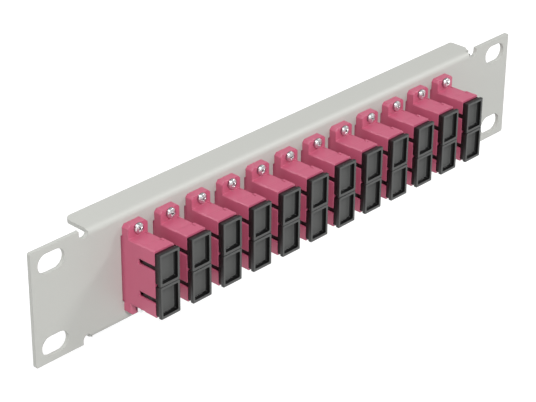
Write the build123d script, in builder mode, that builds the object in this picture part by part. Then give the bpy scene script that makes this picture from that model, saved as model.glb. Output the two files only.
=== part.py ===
"""Fibre patch panel: a folded 10-inch sheet-steel panel with twelve duplex adapters and their dust caps.

Millimetres. X runs along the panel, +Y points back into the rack and +Z is up. The origin is the
middle of the rack-slot pattern on the panel's front face, so everything in front of it has y < 0.
"""
import os

from build123d import *

os.makedirs("parts", exist_ok=True)

# Panel sheet
panel_width = 254.0
panel_height = 44.1
sheet_thickness = 1.5
ear_corner_radius = 0.8
fold_height = 42.6  # outside, over both folds
fold_depth = 12.3  # from the front face to a fold's back edge
bend_inner_radius = 0.8
fold_corner_radius = 3.0
fold_overhang = 2.8  # how far the folds reach past the relief notch's near side, right end only
overhang_corner_radius = 1.0

# Relief notches between the ears and the folds
relief_pitch = 208.0  # from the left pair to the right pair
relief_width = 4.0
relief_below_bend = 0.3
relief_depth = 4.6  # into the overhanging end of a fold, from the front face
relief_lean = 3.6  # depth over which the notch widens to the whole overhang

# Rack slots
rack_slot_inset = 8.7375  # from the panel's end to a slot's middle, for 236.525 between slots
rack_slot_spacing_z = 31.75
rack_slot_length = 11.6
rack_slot_width = 7.6

# Adapter housings
adapter_count = 12
adapter_pitch = 15.0
body_width = 9.0
body_height = 26.0
body_edge = 0.35  # chamfer along a front half's long edges
front_reach = 15.9  # from the panel's front face to the front end
rear_reach = 11.7  # from the panel's front face to the rear end
collar_length = 5.2
side_relief = 0.45  # how far the right side steps in behind a collar
top_relief = 0.2  # how far the top and bottom step in behind a collar
flange_thickness = 3.2
flange_margin = 1.7  # from a screw's axis to the flange's end
flange_corner = 1.0  # clipped off each corner
cutout_gap_x = 0.65  # between the body and its opening in the panel
cutout_gap_z = 0.2
spigot_width = 7.0
spigot_height = 24.4
spigot_depth = 1.2
spigot_clearance = 0.05

# Tool marks in the top and bottom faces, beside the right edge
mark_width = 0.5
mark_depth = 0.35
mark_length = 1.9
mark_inset = 1.6  # from the body's right side to the mark's middle

# Ports
port_pitch = 12.7
port_width = 7.5
port_height = 9.1
port_floor = 4.4  # from the panel's front face to the wall behind a port
keyway_width = 2.1
keyway_length = 8.0

# Latch inserts: a base on the port's floor, the barrel for the ferrule and two hooked arms
insert_clearance = 0.05  # between the base and the port's walls
insert_base = 0.8
barrel_radius = 2.3
barrel_end = 8.8  # from the panel's front face
ferrule_radius = 1.25
ferrule_stop = 0.3  # thickness left behind the ferrule's bore
latch_width = 2.6
latch_thickness = 0.8
latch_end = 11.0  # from the panel's front face
latch_inset = 0.65  # free space between an arm and the port's wall
hook_depth = 0.6
hook_length = 1.0

# Dust caps
cap_lip_width = 9.1
cap_gap = 0.15  # between the lips of a lower and an upper cap
cap_lip_thickness = 1.25
cap_neck_inset_x = 0.2  # from the lip's edge
cap_neck_inset_z = 0.4
cap_neck_length = 1.45
cap_seat_gap = 0.05
cap_rail_x = 0.95  # of the lip, beside the pocket
cap_rail_z = 1.05
cap_pocket_depth = 1.7
cap_pocket_taper = 12.0  # degrees
plug_clearance = 0.1  # between the plug and the port, each side
plug_length = 7.0
plug_root = 2.1  # solid part of the plug, next to the neck
plug_barrel_gap = 0.5  # between the barrel and each of the plug's two walls

# Flange screws, tapped into the panel
screw_offset = 2.7  # from a body's top or bottom to a screw's axis
screw_radius = 1.0
screw_head_radius = 1.9
screw_head_height = 1.2
screw_tail = 0.8  # beyond the panel's back
screw_hole_clearance = 0.15  # radial, in the flange
thread_clearance = 0.02  # radial, in the panel

# The screws, their holes and the barrels are small and many, so they are round in this many flats
small_round_sides = 8

# Places that follow from the sizes above
face = Plane.XZ  # the panel's front face, whose normal points forward
bend_radius = bend_inner_radius + sheet_thickness
rack_slot_spacing_x = panel_width - 2 * rack_slot_inset
side_wall = (body_width - port_width) / 2
screw_spacing = body_height + 2 * screw_offset
flange_height = screw_spacing + 2 * flange_margin
cap_lip_height = port_pitch - cap_gap


def adapter_x(number):
    """X of an adapter's middle, counted from 1 at the left."""
    return (number - (adapter_count + 1) / 2) * adapter_pitch


def port_heights():
    """Z of the lower and the upper port's axis."""
    return (-port_pitch / 2, port_pitch / 2)


def fastener_places():
    """X and Z of every flange screw."""
    rows = (-screw_spacing / 2, screw_spacing / 2)
    return [(adapter_x(number), z) for number in range(1, adapter_count + 1) for z in rows]


def port_places():
    """X and Z of every port's axis."""
    return [(adapter_x(number), z) for number in range(1, adapter_count + 1) for z in port_heights()]


def make_relief():
    """What the upper and lower relief notch of one end take out of the sheet."""
    lowest = fold_height / 2 - bend_radius - relief_below_bend
    straight = panel_height / 2 - lowest
    with BuildPart() as relief:
        with BuildSketch(face):
            with GridLocations(0, 2 * lowest + relief_width, 1, 2):
                Circle(relief_width / 2)
            with GridLocations(0, 2 * lowest + relief_width + straight, 1, 2):
                Rectangle(relief_width, straight)
        extrude(amount=-relief_depth)
        with BuildSketch(Plane.XY.offset(-panel_height)):
            with BuildLine():
                Polyline(
                    (-relief_width / 2, relief_depth),
                    (-relief_width / 2, relief_depth - relief_lean),
                    (fold_overhang - relief_width / 2, relief_depth),
                    close=True,
                )
            make_face()
        extrude(amount=2 * panel_height, mode=Mode.SUBTRACT)
    return relief.part


def make_panel():
    """One folded sheet: two flat ears and a middle with its top and bottom edges folded back."""
    half_fold = fold_height / 2
    fold_left = -(relief_pitch - relief_width) / 2
    fold_right = fold_overhang - fold_left
    relief = make_relief()
    with BuildPart() as panel:
        with BuildSketch(Plane.YZ.offset(fold_left)):
            with BuildLine():
                FilletPolyline(
                    (fold_depth, -half_fold),
                    (0, -half_fold),
                    (0, half_fold),
                    (fold_depth, half_fold),
                    radius=bend_radius,
                )
                FilletPolyline(
                    (fold_depth, -half_fold + sheet_thickness),
                    (sheet_thickness, -half_fold + sheet_thickness),
                    (sheet_thickness, half_fold - sheet_thickness),
                    (fold_depth, half_fold - sheet_thickness),
                    radius=bend_inner_radius,
                )
                Line((fold_depth, -half_fold), (fold_depth, -half_fold + sheet_thickness))
                Line((fold_depth, half_fold), (fold_depth, half_fold - sheet_thickness))
            make_face()
        extrude(amount=fold_right - fold_left)

        ear_width = panel_width / 2 + fold_left
        with BuildSketch(face) as ears:
            with GridLocations(panel_width - ear_width, 0, 2, 1):
                Rectangle(ear_width, panel_height)
            fillet(ears.vertices().group_by(Axis.X)[0], radius=ear_corner_radius)
            fillet(ears.vertices().group_by(Axis.X)[-1], radius=ear_corner_radius)
        extrude(amount=-sheet_thickness)

        with GridLocations(relief_pitch, 0, 2, 1):
            add(relief, mode=Mode.SUBTRACT)

        back_corners = panel.edges().filter_by(Axis.Z).group_by(Axis.Y)[-1]
        fillet(back_corners.group_by(Axis.X)[0], radius=fold_corner_radius)
        fillet(back_corners.group_by(Axis.X)[-1], radius=overhang_corner_radius)

        with BuildSketch(face):
            with GridLocations(rack_slot_spacing_x, rack_slot_spacing_z, 2, 2):
                SlotOverall(rack_slot_length, rack_slot_width)
            with GridLocations(adapter_pitch, 0, adapter_count, 1):
                Rectangle(body_width + 2 * cutout_gap_x, body_height + 2 * cutout_gap_z)
            with Locations(*fastener_places()):
                RegularPolygon(screw_radius + thread_clearance, small_round_sides)
        extrude(amount=-sheet_thickness, mode=Mode.SUBTRACT)
    return panel.part


def body_section(plane, length, collar, edge=0.0):
    """One length of a housing's outside, full size at a collar and stepped in behind it."""
    step_x = 0 if collar else side_relief
    step_z = 0 if collar else top_relief
    with BuildSketch(plane) as outline:
        with Locations((-step_x / 2, 0)):
            Rectangle(body_width - step_x, body_height - 2 * step_z)
        if edge > 0:
            chamfer(outline.vertices(), length=edge)
    extrude(outline.sketch, amount=length)


def cut_marks(y_middle):
    """The short marks in the top and bottom faces, centred on one place along Y."""
    mark_x = body_width / 2 - mark_inset
    floor_z = body_height / 2 - mark_depth
    with BuildSketch(Plane.XY.offset(floor_z)) as top_mark:
        with Locations((mark_x, y_middle)):
            Rectangle(mark_width, mark_length)
    extrude(top_mark.sketch, amount=mark_depth, mode=Mode.SUBTRACT)
    with BuildSketch(Plane.XY.offset(-floor_z)) as bottom_mark:
        with Locations((mark_x, y_middle)):
            Rectangle(mark_width, mark_length)
    extrude(bottom_mark.sketch, amount=-mark_depth, mode=Mode.SUBTRACT)


def cut_keyways(y_end, direction):
    """The slots for the connectors' keys, through the left wall and open at the port's end."""
    with BuildSketch(Plane.YZ.offset(-body_width / 2)) as keyways:
        with Locations(*((y_end - direction * keyway_length / 2, z) for z in port_heights())):
            Rectangle(keyway_length, keyway_width)
    extrude(keyways.sketch, amount=side_wall, mode=Mode.SUBTRACT)


def make_adapter_front():
    """Front half of a housing: the flange with its two screw holes, and two open ports."""
    collar_start = front_reach - collar_length
    with BuildPart() as half:
        with BuildSketch(face) as flange:
            Rectangle(body_width, flange_height)
            chamfer(flange.vertices(), length=flange_corner)
        extrude(amount=flange_thickness)
        stem_length = collar_start - flange_thickness
        body_section(face.offset(flange_thickness), stem_length, collar=False, edge=body_edge)
        body_section(face.offset(collar_start), collar_length, collar=True, edge=body_edge)
        cut_marks(-collar_start - mark_length / 2)
        cut_marks(-flange_thickness - mark_length / 2)
        with BuildSketch(face.offset(front_reach)):
            with Locations(*((0, z) for z in port_heights())):
                Rectangle(port_width, port_height)
        extrude(amount=port_floor - front_reach, mode=Mode.SUBTRACT)
        cut_keyways(-front_reach, -1)
        with BuildSketch(face):
            Rectangle(spigot_width + 2 * spigot_clearance, spigot_height + 2 * spigot_clearance)
        extrude(amount=spigot_depth, mode=Mode.SUBTRACT)
        with BuildSketch(face):
            with GridLocations(0, screw_spacing, 1, 2):
                RegularPolygon(screw_radius + screw_hole_clearance, small_round_sides)
        extrude(amount=flange_thickness, mode=Mode.SUBTRACT)
    return half.part


def latch_arm(side):
    """One latch arm, above (side 1) or below (side -1) the barrel, with a hook at its tip."""
    outer = side * (port_height / 2 - latch_inset)
    inner = outer - side * latch_thickness
    root = -port_floor - insert_base
    with BuildSketch(Plane.YZ) as arm:
        with BuildLine():
            Polyline(
                (root, outer),
                (-latch_end, outer),
                (-latch_end, inner),
                (hook_length - latch_end, inner - side * hook_depth),
                (hook_length - latch_end, inner),
                (root, inner),
                close=True,
            )
        make_face()
    extrude(arm.sketch, amount=latch_width / 2, both=True)


def make_latch_insert():
    """What holds a connector in its port, on the port's own axis."""
    with BuildPart() as insert:
        with BuildSketch(face.offset(port_floor)):
            Rectangle(port_width - 2 * insert_clearance, port_height - 2 * insert_clearance)
        extrude(amount=insert_base)
        latch_arm(-1)
        latch_arm(1)
        with BuildSketch(face.offset(port_floor + insert_base)):
            RegularPolygon(barrel_radius, small_round_sides)
        extrude(amount=barrel_end - port_floor - insert_base)
        with BuildSketch(face.offset(port_floor + ferrule_stop)):
            RegularPolygon(ferrule_radius, small_round_sides, major_radius=False)
        extrude(amount=barrel_end - port_floor - ferrule_stop, mode=Mode.SUBTRACT)
    return insert.part


def add_cap_head(seat, places):
    """The neck and the lip of a dust cap, outwards from the plane it seats on, with a pocket."""
    with BuildSketch(seat) as neck:
        with Locations(*places):
            Rectangle(cap_lip_width - 2 * cap_neck_inset_x, cap_lip_height - 2 * cap_neck_inset_z)
    extrude(neck.sketch, amount=cap_neck_length)
    with BuildSketch(seat.offset(cap_neck_length)) as lip:
        with Locations(*places):
            Rectangle(cap_lip_width, cap_lip_height)
    extrude(lip.sketch, amount=cap_lip_thickness)
    with BuildSketch(seat.offset(cap_neck_length + cap_lip_thickness)) as pocket:
        with Locations(*places):
            Rectangle(cap_lip_width - 2 * cap_rail_x, cap_lip_height - 2 * cap_rail_z)
    extrude(
        pocket.sketch, amount=-cap_pocket_depth, taper=cap_pocket_taper, mode=Mode.SUBTRACT
    )


def make_adapter_rear():
    """Rear half of a housing with its two dust caps on it, closed."""
    inset_length = rear_reach - collar_length
    back = Plane(origin=(0, 0, 0), x_dir=(1, 0, 0), z_dir=(0, 1, 0))
    with BuildPart() as half:
        with BuildSketch(face):
            Rectangle(spigot_width, spigot_height)
        extrude(amount=spigot_depth)
        body_section(face.offset(-inset_length), inset_length, collar=False)
        body_section(face.offset(-rear_reach), collar_length, collar=True)
        cut_keyways(rear_reach, 1)
        add_cap_head(back.offset(rear_reach), [(0, z) for z in port_heights()])
    return half.part


def make_dust_cap():
    """A port's dust cap on the port's own axis: head in front, and a plug with two side walls."""
    seat = face.offset(front_reach + cap_seat_gap)
    plug_height = port_height - 2 * plug_clearance
    with BuildPart() as cap:
        add_cap_head(seat, [(0, 0)])
        with BuildSketch(seat):
            Rectangle(port_width - 2 * plug_clearance, plug_height)
        extrude(amount=-plug_length)
        with BuildSketch(seat.offset(-plug_root)):
            Rectangle(2 * (barrel_radius + plug_barrel_gap), plug_height)
        extrude(amount=plug_root - plug_length, mode=Mode.SUBTRACT)
    return cap.part


def make_screw():
    """A screw seated on the flange, its axis on the Y axis."""
    with BuildPart() as screw:
        with BuildSketch(face.offset(flange_thickness)):
            RegularPolygon(screw_head_radius, small_round_sides)
        extrude(amount=screw_head_height)
        with BuildSketch(face.offset(flange_thickness)):
            RegularPolygon(screw_radius, small_round_sides)
        extrude(amount=-(flange_thickness + sheet_thickness + screw_tail))
    return screw.part


def write_piece(shape, name, places):
    """Writes one node that holds a copy of a shape at each X and Z."""
    with BuildPart() as piece:
        with Locations(*((x, 0, z) for x, z in places)):
            add(shape)
    piece.part.label = name
    export_step(piece.part, f"parts/{name}.step")


write_piece(make_panel(), "panel", [(0, 0)])

adapter_front = make_adapter_front()
adapter_rear = make_adapter_rear()
dust_cap = make_dust_cap()
for number in range(1, adapter_count + 1):
    x = adapter_x(number)
    write_piece(adapter_front, f"adapter_front_{number:02d}", [(x, 0)])
    write_piece(adapter_rear, f"adapter_rear_{number:02d}", [(x, 0)])
    write_piece(dust_cap, f"lower_cap_{number:02d}", [(x, -port_pitch / 2)])
    write_piece(dust_cap, f"upper_cap_{number:02d}", [(x, port_pitch / 2)])

write_piece(make_latch_insert(), "latch_inserts", port_places())
write_piece(make_screw(), "flange_screws", fastener_places())
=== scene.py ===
"""Fibre patch panel: finishes, fine pieces, floor, light and camera round the CAD frame."""

import math

import bpy
import numpy as np
from mathutils import Euler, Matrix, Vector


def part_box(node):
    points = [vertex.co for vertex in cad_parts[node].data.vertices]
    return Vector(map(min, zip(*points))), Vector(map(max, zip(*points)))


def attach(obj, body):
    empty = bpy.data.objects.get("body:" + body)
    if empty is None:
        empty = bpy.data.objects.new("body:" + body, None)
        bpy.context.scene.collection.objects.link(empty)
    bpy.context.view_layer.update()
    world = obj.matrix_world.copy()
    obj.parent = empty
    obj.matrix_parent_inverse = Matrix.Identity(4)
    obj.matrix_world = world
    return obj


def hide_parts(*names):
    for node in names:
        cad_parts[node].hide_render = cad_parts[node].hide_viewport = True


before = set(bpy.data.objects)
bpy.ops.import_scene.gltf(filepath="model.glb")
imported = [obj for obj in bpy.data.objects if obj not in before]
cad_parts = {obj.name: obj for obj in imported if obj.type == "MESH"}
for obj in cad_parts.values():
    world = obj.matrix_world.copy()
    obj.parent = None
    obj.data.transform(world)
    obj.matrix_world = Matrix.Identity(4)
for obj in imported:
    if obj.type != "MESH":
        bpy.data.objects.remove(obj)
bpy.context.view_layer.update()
MM = 0.001  # the object's sizes are in millimetres until a mesh is built
WHITE = (1, 1, 1, 1)


def box_mm(node):
    """Lowest and highest corner of a CAD node, in millimetres."""
    return [np.array(corner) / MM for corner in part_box(node)]


# Places read from the frame
adapter_numbers = range(1, 1 + sum(name.startswith("adapter_front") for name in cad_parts))
adapter_pitch = box_mm("adapter_front_02")[0][0] - box_mm("adapter_front_01")[0][0]
cap_low, cap_high = box_mm("upper_cap_01")
port_pitch = cap_low[2] - box_mm("lower_cap_01")[0][2]
screws_high = box_mm("flange_screws")[1]

# Sizes that the CAD model has too
FLANGE_THICKNESS = 3.2
HEAD_RADIUS = 1.9
SHANK_RADIUS = 1.0
HOUSING_REAR_END = 11.7
LIP_THICKNESS = 1.25
NECK_LENGTH = 1.45
PLUG_ROOT = 2.1


# Colours and shader nodes


def colour(text):
    """An sRGB hex colour such as "C0C1BC" as linear red, green, blue and alpha."""
    parts = [int(text[i : i + 2], 16) / 255 for i in (0, 2, 4)]
    linear = [c / 12.92 if c <= 0.04045 else ((c + 0.055) / 1.055) ** 2.4 for c in parts]
    return (*linear, 1.0)


def feed(tree, node, inputs):
    """Fills a node's inputs, given by name or number, with values or with other nodes' sockets."""
    for name, value in inputs.items():
        if isinstance(value, bpy.types.NodeSocket):
            tree.links.new(value, node.inputs[name])
        else:
            node.inputs[name].default_value = value


def add_node(tree, kind, inputs, **settings):
    """Adds a shader node with its settings, fills its inputs and returns its outputs."""
    node = tree.nodes.new(kind)
    for name, value in settings.items():
        setattr(node, name, value)
    feed(tree, node, inputs)
    return node.outputs


def new_material(name):
    """A material with only its shader and output; returns the material, its tree and its shader."""
    material = bpy.data.materials.new(name)
    material.use_nodes = True
    tree = material.node_tree
    return material, tree, tree.nodes["Principled BSDF"]


def grain(tree, size, detail=2.0):
    """Noise from 0 to 1 in the object's own coordinates, in lumps of a size in millimetres."""
    place = add_node(tree, "ShaderNodeTexCoord", {})["Object"]
    inputs = {"Vector": place, "Scale": 1 / (size * MM), "Detail": detail}
    return add_node(tree, "ShaderNodeTexNoise", inputs)["Fac"]


def mottled(tree, size, low, high):
    """The same noise, from low to high."""
    inputs = {"Value": grain(tree, size), "To Min": low, "To Max": high}
    return add_node(tree, "ShaderNodeMapRange", inputs)["Result"]


def soft_edges(tree, radius, relief=None, height=0.0):
    """Normals that round the look of sharp edges, with a fine relief on top; all in millimetres."""
    normal = add_node(tree, "ShaderNodeBevel", {"Radius": radius * MM}, samples=6)["Normal"]
    if relief is None:
        return normal
    inputs = {"Height": relief, "Normal": normal, "Distance": height * MM}
    return add_node(tree, "ShaderNodeBump", inputs)["Normal"]


def for_rays(tree, kinds, low, high):
    """A strength of low where light only lights the scene, and of high for rays of the given kinds."""
    rays = add_node(tree, "ShaderNodeLightPath", {})
    seen = rays[kinds[0]]
    for kind in kinds[1:]:
        seen = add_node(tree, "ShaderNodeMath", {0: seen, 1: rays[kind]}, operation="MAXIMUM")[0]
    inputs = {"Value": seen, "To Min": low, "To Max": high}
    return add_node(tree, "ShaderNodeMapRange", inputs)["Result"]


# Materials

HEATHER_VIOLET = "C05E79"
CAP_BLACK = "1E1E1E"
# lighter grey on the caps' rims and floors: painted sheen over the real spark texture
SPARKED_SHEEN_GREY = "4B4C4B"
# near-black on the caps' pocket sides: painted shade
POCKET_SHADE_BLACK = "101010"
POWDER_GREY = "BDBEB9"
BRIGHT_ZINC = "DDDFE0"
RECESS_AND_SHADOW_ZINC = "77797A"
ZIRCONIA_WHITE = "F2F1EA"
SLEEVE_RADIUS = 1.6  # outside of the white sleeve in each port's barrel


def powder_coat():
    """Light grey powder coat on steel: a satin skin with the faint orange peel of cured powder."""
    material, tree, shader = new_material("grey_powder_coat")
    orange_peel = grain(tree, size=0.9, detail=3.0)
    feed(tree, shader, {
        "Base Color": colour(POWDER_GREY),
        "Roughness": mottled(tree, size=1.2, low=0.42, high=0.52),
        "Normal": soft_edges(tree, radius=0.35, relief=orange_peel, height=0.02),
    })
    return material


def moulded(name, shade, roughness, edge):
    """Injection-moulded plastic: an even colour, and a fine spark texture that breaks up reflections.

    The real texture's pits are about 0.05 mm wide. They are drawn 0.25 mm wide, so that they show.
    """
    material, tree, shader = new_material(name)
    spark_texture = grain(tree, size=0.25)
    low, high = roughness
    feed(tree, shader, {
        "Base Color": colour(shade),
        "Roughness": mottled(tree, size=0.5, low=low, high=high),
        "Normal": soft_edges(tree, radius=edge, relief=spark_texture, height=0.006),
    })
    return material


def painted_pocket_shade():
    """Near-black plastic on the caps' pocket sides, as painted shade: smooth, and darker than the sparked
    faces.
    """
    material, tree, shader = new_material("pocket_painted_shade_black")
    feed(tree, shader, {
        "Base Color": colour(POCKET_SHADE_BLACK),
        "Roughness": 0.3,
        "Specular IOR Level": 0.2,
    })
    return material


def bright_zinc():
    """Bright zinc plate on steel screws: nearly a mirror, with a slight grain."""
    material, tree, shader = new_material("bright_zinc_plate")
    feed(tree, shader, {
        "Base Color": colour(BRIGHT_ZINC),
        "Metallic": 1.0,
        "Roughness": mottled(tree, size=0.4, low=0.24, high=0.36),
    })
    return material


def recess_and_shadow_zinc():
    """Dull, dark grey zinc: in a screw's recess, and low on its head's side as a painted contact shadow
    where the head meets the flange.
    """
    material, tree, shader = new_material("dark_zinc_recess_and_painted_shadow")
    feed(tree, shader, {"Base Color": colour(RECESS_AND_SHADOW_ZINC), "Metallic": 1.0, "Roughness": 0.55})
    return material


def rear_plastic():
    """The rear halves' plastic, satin as moulded, and in black the dust caps behind the housing's end."""
    material, tree, shader = new_material("rear_half_with_black_caps")
    place = add_node(tree, "ShaderNodeTexCoord", {})["Object"]
    y = add_node(tree, "ShaderNodeSeparateXYZ", {"Vector": place})["Y"]
    cap_start = (HOUSING_REAR_END + 0.02) * MM
    behind = add_node(tree, "ShaderNodeMath", {0: y, 1: cap_start}, operation="GREATER_THAN")[0]
    shades = {0: behind, 6: colour(HEATHER_VIOLET), 7: colour(CAP_BLACK)}
    feed(tree, shader, {
        "Base Color": add_node(tree, "ShaderNodeMix", shades, data_type="RGBA")[2],
        "Roughness": 0.42,
        "Normal": soft_edges(tree, radius=0.25),
    })
    return material


def insert_plastic():
    """The latch inserts' plastic, satin as moulded, and each barrel's sleeve in white zirconia.

    The ports repeat by the adapters' pitch and the ports' pitch, so each place is wrapped into one
    port's cell, and its distance from the port's axis tells the sleeve from the rest.
    """
    material, tree, shader = new_material("violet_insert_with_white_sleeve")
    half_x, half_z = adapter_pitch / 2 * MM, port_pitch / 2 * MM
    place = add_node(tree, "ShaderNodeTexCoord", {})["Object"]
    inputs = {0: place, 1: (half_x, 0, half_z)}
    offset = add_node(tree, "ShaderNodeVectorMath", inputs, operation="SUBTRACT")[0]
    inputs = {0: offset, 1: (half_x, 1, half_z), 2: (-half_x, -1, -half_z)}
    cell = add_node(tree, "ShaderNodeVectorMath", inputs, operation="WRAP")[0]
    flat = add_node(tree, "ShaderNodeVectorMath", {0: cell, 1: (1, 0, 1)}, operation="MULTIPLY")[0]
    distance = add_node(tree, "ShaderNodeVectorMath", {0: flat}, operation="LENGTH")["Value"]
    inputs = {0: distance, 1: SLEEVE_RADIUS * MM}
    inside = add_node(tree, "ShaderNodeMath", inputs, operation="LESS_THAN")[0]
    shades = {0: inside, 6: colour(HEATHER_VIOLET), 7: colour(ZIRCONIA_WHITE)}
    feed(tree, shader, {
        "Base Color": add_node(tree, "ShaderNodeMix", shades, data_type="RGBA")[2],
        "Roughness": 0.35,
    })
    return material


panel_paint = powder_coat()
violet_plastic = moulded("heather_violet_plastic", HEATHER_VIOLET, roughness=(0.26, 0.36), edge=0.3)
black_plastic = moulded("black_cap_plastic", CAP_BLACK, roughness=(0.36, 0.5), edge=0.08)
# the caps' fronts: a real spark texture, with a lighter grey painted on as sheen
sparked_sheen_plastic = moulded("sparked_cap_front_painted_sheen", SPARKED_SHEEN_GREY, roughness=(0.5, 0.6), edge=0.05)
pocket_shade_plastic = painted_pocket_shade()
screw_metal = bright_zinc()
recess_and_shadow_metal = recess_and_shadow_zinc()

# CAD nodes take the real finishes by the starts of their names
node_finishes = {
    "panel": panel_paint,
    "adapter_front": violet_plastic,
    "adapter_rear": rear_plastic(),
    "latch_inserts": insert_plastic(),
    "flange_screws": screw_metal,
    "lower_cap": black_plastic,
    "upper_cap": black_plastic,
}
for name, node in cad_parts.items():
    finish = next(made for start, made in node_finishes.items() if name.startswith(start))
    for holder in node.material_slots:
        holder.material = finish


# Surfaces

CORNER_POINTS = 6  # in each corner of a ring
RING_POINTS = 4 * CORNER_POINTS
OUTWARD = (0, 30, 60, 90)  # degrees round a quarter, from its end face to its side
INWARD = OUTWARD[::-1]
LEAST_CORNER = 0.05


def build(name, shape, materials, slots, body, node):
    """A smooth-shaded mesh at the origin from (points, faces) in millimetres, in place of a node.

    It rides on a body, and slots holds each face's number in materials.
    """
    points, faces = shape
    mesh = bpy.data.meshes.new(name)
    mesh.from_pydata((points * MM).tolist(), [], faces)
    mesh.update()
    for material in materials:
        mesh.materials.append(material)
    mesh.polygons.foreach_set("material_index", slots)
    mesh.shade_smooth()
    piece = bpy.data.objects.new(name, mesh)
    bpy.context.scene.collection.objects.link(piece)
    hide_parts(node)
    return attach(piece, body)


def stacked(rings):
    """A closed surface through equal rings of points: quads between rings, and flat ends.

    Point i of ring j joins point i + 1 and the same two of ring j + 1. The rings run round +Y as
    x = cos t, z = sin t does, from the back to the front, so that the faces point outwards. The
    first face is the back end, and the quads between rings j and j + 1 start at 1 + j * ring size.
    """
    rings = np.asarray(rings, float)
    count, size = rings.shape[:2]
    start = np.arange(count - 1)[:, None] * size
    here = np.arange(size)[None, :]
    following = (here + 1) % size
    first, second = start + here, start + following
    quads = np.stack([first, second, second + size, first + size], axis=-1)
    faces = [tuple(range(size - 1, -1, -1)), *map(tuple, quads.reshape(-1, 4).tolist())]
    faces.append(tuple(range((count - 1) * size, count * size)))
    return rings.reshape(-1, 3), faces


def join(shapes):
    """Several (points, faces) shapes as one."""
    joined, start = [], 0
    for points, faces in shapes:
        joined += [tuple(start + i for i in face) for face in faces]
        start += len(points)
    return np.concatenate([points for points, _ in shapes]), joined


def rounded_ring(half_x, half_z, radius, y):
    """A rounded rectangle in the plane y: in each corner, its centre plus radius (cos t, sin t)."""
    t = np.radians(np.linspace(0, 90, CORNER_POINTS)[None, :] + np.arange(4)[:, None] * 90)
    sign_x = np.array([1, -1, -1, 1])[:, None]
    sign_z = np.array([1, 1, -1, -1])[:, None]
    x = sign_x * (half_x - radius) + radius * np.cos(t)
    z = sign_z * (half_z - radius) + radius * np.sin(t)
    return np.stack([x, np.full_like(x, y), z], axis=-1).reshape(-1, 3)


def quarter(radius, degrees):
    """A quarter round as (inset, depth) pairs: inset = radius (1 - sin t), depth = radius (1 - cos t)."""
    return [(radius * (1 - math.sin(t)), radius * (1 - math.cos(t))) for t in np.radians(degrees)]


def rounded_block(half_x, half_z, radius, back, front, edge):
    """A block from back to front along -Y whose end edges are quarter rounds of radius edge."""
    outline = [(inset, back - depth) for inset, depth in quarter(edge, OUTWARD)]
    outline += [(inset, front + depth) for inset, depth in quarter(edge, INWARD)]
    return stacked([
        rounded_ring(half_x - inset, half_z - inset, max(radius - inset, LEAST_CORNER), y)
        for inset, y in outline
    ])


def turned(profile, count):
    """A closed surface turned about the Y axis from (radius, y) points, from the back to the front.

    Each point becomes a ring of count points x = radius cos t, z = radius sin t.
    """
    t = np.arange(count) * 2 * math.pi / count
    radius, y = profile.T[:, :, None]
    x, z = radius * np.cos(t), radius * np.sin(t)
    return stacked(np.stack([x, np.broadcast_to(y, x.shape), z], axis=-1))


def moved(shape, offset, turn=(0, 0, 0), about=(0, 0, 0)):
    """A (points, faces) shape turned by angles in degrees about a point, then moved."""
    points, faces = shape
    matrix = np.array(Euler([math.radians(a) for a in turn]).to_matrix())
    return (points - np.array(about)) @ matrix.T + np.array(about) + np.array(offset), faces


# Dust caps

LIP_CORNER = 0.35
LIP_ROUNDING = 0.12
NECK_INSET_X = 0.2  # from the lip's outline
NECK_INSET_Z = 0.4
NECK_CORNER = 0.4
POCKET_INSET_X = 0.95  # from the lip's outline
POCKET_INSET_Z = 1.05
POCKET_CORNER = 0.4
POCKET_DEPTH = 1.75
POCKET_DRAFT = 0.12  # how far the pocket's sides lean in
POCKET_MOUTH_ROUNDING = 0.06
POCKET_FOOT_ROUNDING = 0.8
PLUG_HALF_X = 3.65
PLUG_HALF_Z = 4.45
PLUG_CORNER = 0.35
PLUG_WALL_HALF = 0.42  # half the thickness of a plug's side wall
PLUG_WALL_CORNER = 0.15
PLUG_WALL_ROUNDING = 0.2
PLUG_WALL_OVERLAP = 0.3  # how deep a wall stands in the plug's root
MOST_NOD = 0.35  # degrees about X
MOST_SWING = 0.45  # degrees about Z
MOST_PROUD = 0.1  # out of the seat, to the front
CAP_BODY, CAP_SPARKED_SHEEN, CAP_POCKET_SHADE = range(3)

lip_half_x = (cap_high[0] - cap_low[0]) / 2
lip_half_z = (cap_high[2] - cap_low[2]) / 2
cap_front, cap_back = cap_low[1], cap_high[1]
lip_back = cap_front + LIP_THICKNESS
seat = lip_back + NECK_LENGTH


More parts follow.
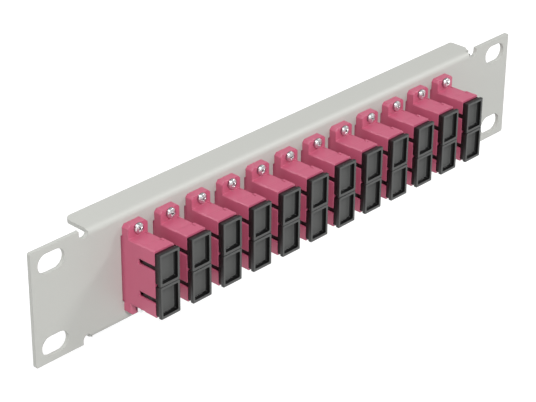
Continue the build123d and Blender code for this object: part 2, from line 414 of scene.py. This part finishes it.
def cap_head():
    """A dust cap's head as one closed surface from the back: plug root, neck, lip and pocket.

    The lip's edges and the pocket's mouth are quarter rounds. The pocket's side leans in, and a
    hollow quarter round joins it to the floor. Also returns each face's finish: the rim and the
    floor are sparked, in a lighter grey that paints on sheen, and the pocket's side is near-black
    painted shade as far as two thirds of the hollow.
    """
    rings = [rounded_ring(PLUG_HALF_X, PLUG_HALF_Z, PLUG_CORNER, y) for y in (seat + PLUG_ROOT, seat)]
    neck_half_x, neck_half_z = lip_half_x - NECK_INSET_X, lip_half_z - NECK_INSET_Z
    rings += [rounded_ring(neck_half_x, neck_half_z, NECK_CORNER, y) for y in (seat, lip_back)]
    lip = [(inset, lip_back - depth) for inset, depth in quarter(LIP_ROUNDING, (0, 45, 90))]
    lip += [(inset, cap_front + depth) for inset, depth in quarter(LIP_ROUNDING, INWARD)]
    for inset, y in lip:
        rings.append(rounded_ring(lip_half_x - inset, lip_half_z - inset, LIP_CORNER - inset, y))
    rim = len(rings) - 1
    pocket = [(-inset, cap_front + depth) for inset, depth in quarter(POCKET_MOUTH_ROUNDING, OUTWARD)]
    side = rim + len(pocket)
    floor_y = cap_front + POCKET_DEPTH
    for inset, depth in quarter(POCKET_FOOT_ROUNDING, OUTWARD):
        pocket.append((POCKET_DRAFT + depth, floor_y - inset))
    pocket_half_x, pocket_half_z = lip_half_x - POCKET_INSET_X, lip_half_z - POCKET_INSET_Z
    for inset, y in pocket:
        rings.append(rounded_ring(pocket_half_x - inset, pocket_half_z - inset, POCKET_CORNER, y))
    floor = len(rings) - 2
    points, faces = stacked(rings)
    finishes = np.full(len(faces), CAP_BODY)
    # the rim and the floor take the lighter grey of painted sheen
    finishes[1 + rim * RING_POINTS :] = CAP_SPARKED_SHEEN
    # the pocket's side takes the near-black painted shade
    finishes[1 + side * RING_POINTS : 1 + floor * RING_POINTS] = CAP_POCKET_SHADE
    return (points, faces), finishes


def make_caps():
    """The dust caps, each seated a hair differently, as pressed in by hand.

    Sines of steps that never come round again set each cap's tilt and how far it stands proud.
    """
    head, finishes = cap_head()
    wall_front = seat + PLUG_ROOT - PLUG_WALL_OVERLAP
    wall = rounded_block(
        PLUG_WALL_HALF, PLUG_HALF_Z, PLUG_WALL_CORNER, cap_back, wall_front, PLUG_WALL_ROUNDING
    )
    walls = [moved(wall, (side * (PLUG_HALF_X - PLUG_WALL_HALF), 0, 0)) for side in (-1, 1)]
    cap = join([head, *walls])
    finishes = np.concatenate([finishes, np.full(len(cap[1]) - len(finishes), CAP_BODY)])
    plastics = [black_plastic, sparked_sheen_plastic, pocket_shade_plastic]
    for number in adapter_numbers:
        for place, row in enumerate(("lower", "upper")):
            body = f"{row}_cap_{number:02d}"
            low, high = box_mm(body)
            step = 2 * number + place
            tilt = (MOST_NOD * math.sin(2.4 * step), 0.0, MOST_SWING * math.sin(3.7 * step))
            proud = MOST_PROUD / 2 * (1 + math.sin(1.9 * step))
            middle = ((low[0] + high[0]) / 2, -proud, (low[2] + high[2]) / 2)
            shape = moved(cap, middle, tilt, (0, seat, 0))
            piece = build(f"{body}_moulding", shape, plastics, finishes, body, body)


make_caps()


# Flange screws

HEAD_SIDES = 64
SHANK_CHAMFER = 0.2
HEAD_CHAMFER = (0.12, 0.1)  # across and along, round the head's lower edge
SIDE_HEIGHT = 0.75  # of the head's straight side
SHADOW_BAND_HEIGHT = 0.4  # of the band low on that side, darkened as painted contact shadow
ROLLED_EDGE = 0.45  # radius between side and dome
DOME_HEIGHT = 0.34
DOME_FLAT = 0.03  # radius of the dome's last ring
DOME_RINGS = 33
RECESS_ARM = 1.0  # from the middle to an arm's end
RECESS_HALF_WIDTH = 0.26  # at the middle
RECESS_TAPER = 0.08  # how much of that is lost at an arm's end
RECESS_SIDE = 0.07  # width of an arm's sloping side
RECESS_END = 0.12  # length of an arm's sloping end
RECESS_DEPTH = 0.6  # at the middle
RECESS_RISE = 0.3  # how much of that is lost at an arm's end
RECESS_MARGIN = 0.05  # of the dome's edge that the recess leaves
DULL_DEPTH = 0.12  # from here down the recess is dull
SCREW_TURN = 77  # degrees from one screw to the next
NEAR = 0.01  # heights nearer to each other than this count as one
BRIGHT, RECESS_AND_SHADOW = range(2)


def cross_recess(x, z):
    """Depth of a cross recess at (x, z): two arms with sloping ends, deeper at the middle."""
    depth = np.zeros_like(x)
    for along, across in ((np.abs(x), np.abs(z)), (np.abs(z), np.abs(x))):
        width = RECESS_HALF_WIDTH - RECESS_TAPER * along / RECESS_ARM
        side = np.clip((width - across) / RECESS_SIDE, 0, 1)
        end = np.clip((RECESS_ARM - along) / RECESS_END, 0, 1)
        depth = np.maximum(depth, side * end * (RECESS_DEPTH - RECESS_RISE * along / RECESS_ARM))
    return depth


def screw():
    """A pan-head screw: a shank, a domed head with a rolled rim, and a cross recess.

    The dome falls away as 1 - (radius / reach) squared from its middle. Also returns each face's
    finish: the recess is dull, dark zinc, and so is the lowest part of the head's side, as painted
    contact shadow.
    """
    under = -FLANGE_THICKNESS
    tail = screws_high[1]
    across, along = HEAD_CHAMFER
    shoulder = under - SIDE_HEIGHT - ROLLED_EDGE
    reach = HEAD_RADIUS - ROLLED_EDGE
    straight = [
        (SHANK_RADIUS - SHANK_CHAMFER, tail),
        (SHANK_RADIUS, tail - SHANK_CHAMFER),
        (SHANK_RADIUS, under),
        (HEAD_RADIUS - across, under),
        (HEAD_RADIUS, under - along),
        (HEAD_RADIUS, under - SHADOW_BAND_HEIGHT),
        (HEAD_RADIUS, under - SIDE_HEIGHT),
    ]
    t = np.radians(np.arange(10, 91, 8))
    rolled = [reach + ROLLED_EDGE * np.cos(t), under - SIDE_HEIGHT - ROLLED_EDGE * np.sin(t)]
    radius = np.linspace(reach, DOME_FLAT, DOME_RINGS + 1)[1:]
    dome = [radius, shoulder - DOME_HEIGHT * (1 - (radius / reach) ** 2)]
    points, faces = turned(np.concatenate([straight, np.transpose(rolled), np.transpose(dome)]), HEAD_SIDES)
    x, y, z = points.T
    distance = np.hypot(x, z)
    on_dome = (y <= shoulder + NEAR) & (distance < reach - RECESS_MARGIN)
    sunk = np.where(on_dome, cross_recess(x, z), 0)
    # the lowest band of the head's side: painted contact shadow in the dark zinc
    shadow_band = (distance > (SHANK_RADIUS + HEAD_RADIUS) / 2) & (y > under - SHADOW_BAND_HEIGHT - NEAR)
    points[:, 1] += sunk
    recess_and_shadow = [sunk[list(face)].min() > DULL_DEPTH or shadow_band[list(face)].all() for face in faces]
    return (points, faces), np.where(recess_and_shadow, RECESS_AND_SHADOW, BRIGHT)


def make_screws():
    """A screw in every flange hole, each turned about its own axis by its own angle."""
    shape, finishes = screw()
    row_z = screws_high[2] - HEAD_RADIUS
    screws = []
    for number in adapter_numbers:
        low, high = box_mm(f"adapter_front_{number:02d}")
        for row, z in enumerate((-row_z, row_z)):
            turn = SCREW_TURN * (2 * number + row)
            screws.append(moved(shape, ((low[0] + high[0]) / 2, 0, z), (0, turn, 0)))
    metals = [screw_metal, recess_and_shadow_metal]
    finishes = np.tile(finishes, len(screws))
    piece = build("pan_head_screws", join(screws), metals, finishes, "panel_assembly", "flange_screws")


make_screws()


# Floor, light and camera, in metres

FLOOR_Z = -0.09
FLOOR_SIZE = 12
FLOOR_GREY = (0.4, 0.4, 0.4, 1)  # dark enough not to light the object's front from below
FLOOR_LIFT = 0.75  # glow that lights nothing, and brings the lit floor to white in view
ROOM_STRENGTH = 0.4


def floor_material():
    """A pale matt floor; what the camera sees of it is lifted to white, and the shadow stays."""
    material, tree, shader = new_material("white_floor")
    kinds = ("Is Camera Ray", "Is Glossy Ray", "Is Transmission Ray")
    feed(tree, shader, {
        "Base Color": FLOOR_GREY,
        "Roughness": 1.0,
        "Emission Color": WHITE,
        "Emission Strength": for_rays(tree, kinds, low=0, high=FLOOR_LIFT),
    })
    return material


def add_floor():
    """A plain floor under the object."""
    bpy.ops.mesh.primitive_plane_add(size=FLOOR_SIZE, location=(0, 0, FLOOR_Z))
    floor = bpy.context.object
    floor.name = "floor"
    floor.data.materials.append(floor_material())


def add_white_room():
    """A white world that lights softly and shows as plain white to the camera."""
    world = bpy.data.worlds.new("soft_white_room")
    bpy.context.scene.world = world
    world.use_nodes = True
    tree = world.node_tree
    strength = for_rays(tree, ("Is Camera Ray", "Is Transmission Ray"), low=ROOM_STRENGTH, high=1.0)
    feed(tree, tree.nodes["Background"], {"Color": WHITE, "Strength": strength})


def add_softbox(name, place, aim, size, power):
    """A square area lamp of a size in metres at a place, pointing at aim, with a power in watts."""
    data = bpy.data.lights.new(name, "AREA")
    data.size = size
    data.energy = power
    lamp = bpy.data.objects.new(name, data)
    bpy.context.scene.collection.objects.link(lamp)
    lamp.location = place
    direction = np.array(aim) - np.array(place)
    flat = math.hypot(direction[0], direction[1])
    heading = math.atan2(direction[1], direction[0]) - math.pi / 2
    lamp.rotation_euler = (math.atan2(flat, -direction[2]), 0, heading)


def add_camera():
    """The photograph's camera, to the left of the panel and above it, with a long lens."""
    data = bpy.data.cameras.new("camera")
    camera = bpy.data.objects.new("camera", data)
    bpy.context.scene.collection.objects.link(camera)
    bpy.context.scene.camera = camera
    data.sensor_width = 36
    data.lens = 128.39
    data.shift_x = -0.0045
    data.shift_y = -0.0078
    data.clip_start = 0.01
    data.clip_end = 50
    camera.location = (-0.46379, -0.42382, 0.32921)
    camera.rotation_euler = [math.radians(a) for a in (61.9644, -0.4421, -46.4756)]


add_floor()
add_white_room()
add_softbox("key", place=(-0.75, -1.14, 1.18), aim=(0.02, 0, 0), size=0.75, power=23.5)
add_softbox("right", place=(0.8, -0.57, 0.73), aim=(0.05, 0, 0), size=0.25, power=4.4)
add_softbox("left", place=(-1.5, -0.3, 0.3), aim=(0, 0, 0), size=0.8, power=2.5)
add_softbox("behind", place=(-0.55, 0.7, 0.8), aim=(0, 0, 0), size=0.3, power=2)
add_softbox("back", place=(0.5, 1.3, 0.1), aim=(0, 0, 0), size=0.8, power=5.5)
add_camera()
bpy.context.scene.view_settings.view_transform = "Standard"
